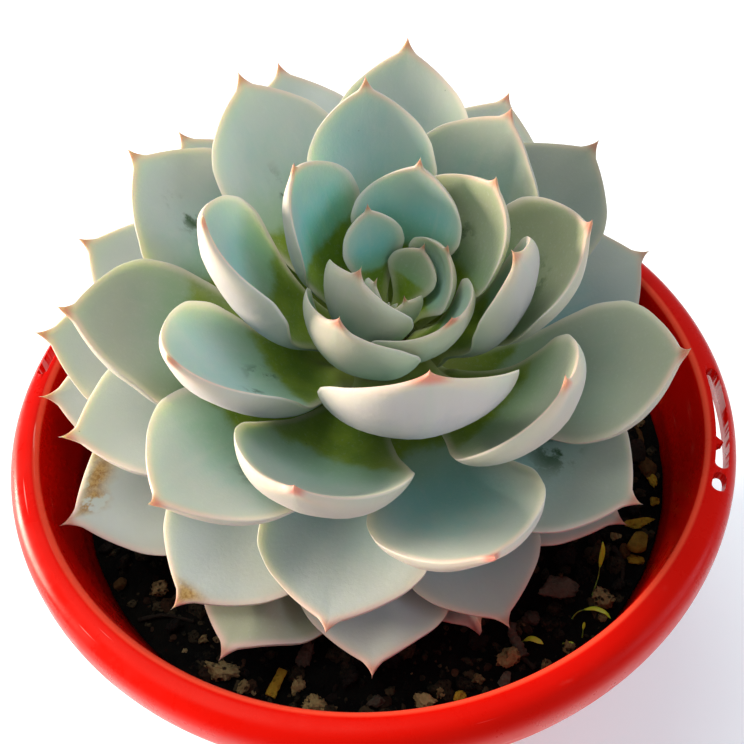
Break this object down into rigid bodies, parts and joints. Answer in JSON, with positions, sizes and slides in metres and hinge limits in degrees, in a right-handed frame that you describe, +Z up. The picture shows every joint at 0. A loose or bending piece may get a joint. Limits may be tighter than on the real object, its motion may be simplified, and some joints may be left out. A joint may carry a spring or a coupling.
{
  "type": "potted succulent",
  "caption": "Rosette succulent with thick cupped pointed leaves in spiral rings, growing from a short leaning stem in potting mix inside a round tapered plastic pot with a slotted rim",
  "frame": {"origin": "centre of the pot's flat underside, on the surface it stands on", "axes": "+Z up along the pot's axis; the front of the plant, the side it leans toward, faces -Y; +X is to its right seen from the front"},
  "size_m": [0.16, 0.16, 0.1766],
  "materials": {
    "pot_plastic": "glossy moulded plastic with fine scuffs",
    "potting_mix": "damp loose potting mix, rough and dark",
    "stem": "dull fleshy green-brown skin",
    "young_leaf": "waxy bloom over green, satin",
    "leaf": "pale blue-green waxy bloom with cream-pink margins, satin",
    "olive_stone": "rough olive-yellow stone",
    "pale_stone": "rough tan porous grain",
    "grey_stone": "rough grey stone",
    "bark": "rough dark bark chip"
  },
  "bodies": {
    "root": {"pot": "pot_plastic", "soil": "potting_mix", "stem": "stem", "bud": "young_leaf", "leaf_01": "young_leaf", "leaf_02": "young_leaf", "leaf_03": "young_leaf", "leaf_04": "young_leaf", "leaf_05": "young_leaf", "leaf_06": "young_leaf", "leaf_07": "young_leaf", "leaf_08": "young_leaf", "leaf_09": "young_leaf", "leaf_10": "young_leaf", "leaf_11": "leaf", "leaf_12": "leaf", "leaf_13": "leaf", "leaf_14": "leaf", "leaf_15": "leaf", "leaf_16": "leaf", "leaf_17": "leaf", "leaf_18": "leaf", "leaf_19": "leaf", "leaf_20": "leaf", "leaf_21": "leaf", "leaf_22": "leaf", "leaf_23": "leaf", "leaf_24": "leaf", "leaf_25": "leaf", "leaf_26": "leaf", "leaf_27": "leaf", "leaf_28": "leaf", "leaf_29": "leaf", "leaf_30": "leaf", "leaf_31": "leaf", "leaf_32": "leaf", "leaf_33": "leaf", "leaf_34": "leaf", "leaf_35": "leaf", "leaf_36": "leaf", "leaf_37": "leaf", "leaf_38": "leaf", "leaf_39": "leaf", "leaf_40": "leaf", "leaf_41": "leaf", "leaf_42": "leaf", "leaf_43": "leaf", "leaf_44": "leaf", "leaf_45": "leaf", "leaf_46": "leaf", "leaf_47": "leaf", "leaf_48": "leaf", "stone_olive": "olive_stone", "stone_porous": "pale_stone", "stone_grey": "grey_stone", "stone_tan": "pale_stone", "chip_bark": "bark"}
  },
  "joints": []
}
